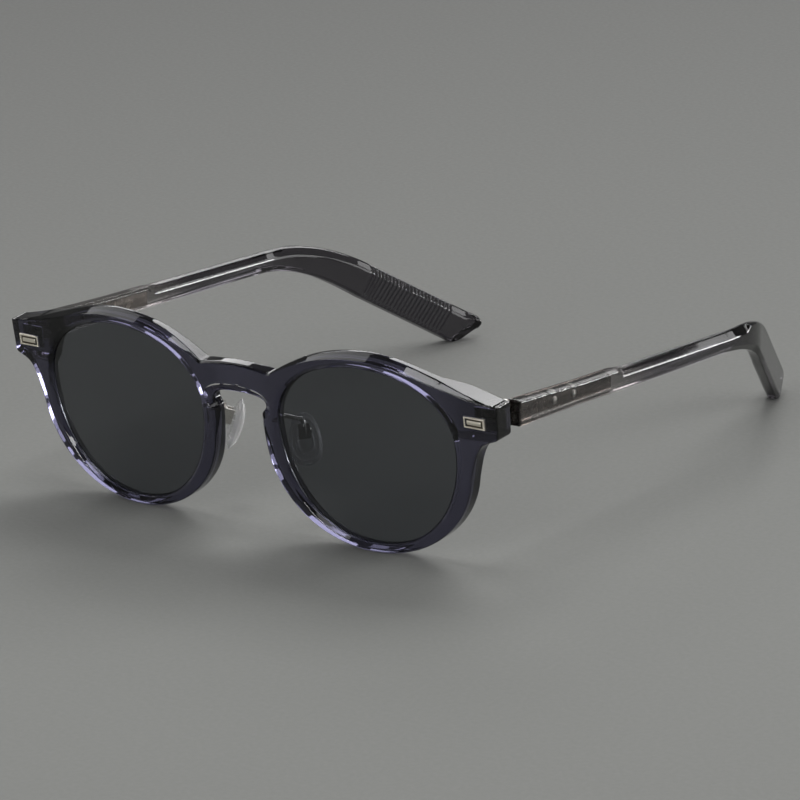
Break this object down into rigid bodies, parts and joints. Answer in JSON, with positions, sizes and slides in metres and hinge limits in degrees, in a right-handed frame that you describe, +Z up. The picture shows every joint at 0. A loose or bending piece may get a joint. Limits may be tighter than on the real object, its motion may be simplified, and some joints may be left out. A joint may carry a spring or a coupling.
{
  "type": "sunglasses",
  "caption": "Round keyhole-bridge sunglasses with grey lenses, translucent acetate front and folding temples, barrel hinges, plaques and adjustable nose pads.",
  "frame": {"origin": "on the table that the rims and the temple tips stand on, under the middle of the part", "axes": "+Z up, the front faces -Y, the open temples run towards +Y, +X is the wearer's left"},
  "size_m": [0.1388, 0.1442, 0.0461],
  "materials": {
    "blue_grey_acetate": "polished translucent blue-grey cellulose acetate",
    "smoke_acetate": "polished translucent smoke-grey cellulose acetate",
    "grey_lens": "dark neutral grey tinted plastic lens, gloss",
    "champagne_metal": "pale champagne metal with a ribbed border",
    "nickel_silver": "polished nickel silver",
    "clear_silicone": "clear soft nose pad"
  },
  "bodies": {
    "front": {"front_frame": "blue_grey_acetate", "left_lens": "grey_lens", "right_lens": "grey_lens", "left_plaque": "champagne_metal", "right_plaque": "champagne_metal", "left_front_hinge": "nickel_silver", "right_front_hinge": "nickel_silver", "left_hinge_screw": "nickel_silver", "right_hinge_screw": "nickel_silver", "left_pad_arm": "nickel_silver", "right_pad_arm": "nickel_silver", "left_pad_box": "nickel_silver", "right_pad_box": "nickel_silver", "left_pad_screw": "nickel_silver", "right_pad_screw": "nickel_silver"},
    "left_temple": {"left_temple": "smoke_acetate", "left_temple_hinge": "nickel_silver", "left_temple_rivets": "nickel_silver"},
    "right_temple": {"right_temple": "smoke_acetate", "right_temple_hinge": "nickel_silver", "right_temple_rivets": "nickel_silver"},
    "left_nose_pad": {"left_nose_pad": "clear_silicone"},
    "right_nose_pad": {"right_nose_pad": "clear_silicone"}
  },
  "joints": [
    {"name": "left_temple_fold", "type": "hinge", "parent": "front", "child": "left_temple", "pos_m": [0.06625, -0.06072, 0.03473], "axis": [0, -0.0727, 0.9974], "range_deg": [0, 83]},
    {"name": "right_temple_fold", "type": "hinge", "parent": "front", "child": "right_temple", "pos_m": [-0.06625, -0.06072, 0.03473], "axis": [0, 0.0727, -0.9974], "range_deg": [0, 70]},
    {"name": "left_pad_rock", "type": "hinge", "parent": "front", "child": "left_nose_pad", "pos_m": [0.01127, -0.06137, 0.02255], "axis": [0.7431, 0.6674, 0.0487], "range_deg": [-12, 12]},
    {"name": "right_pad_rock", "type": "hinge", "parent": "front", "child": "right_nose_pad", "pos_m": [-0.01127, -0.06137, 0.02255], "axis": [0.7431, -0.6674, -0.0487], "range_deg": [-12, 12]}
  ]
}
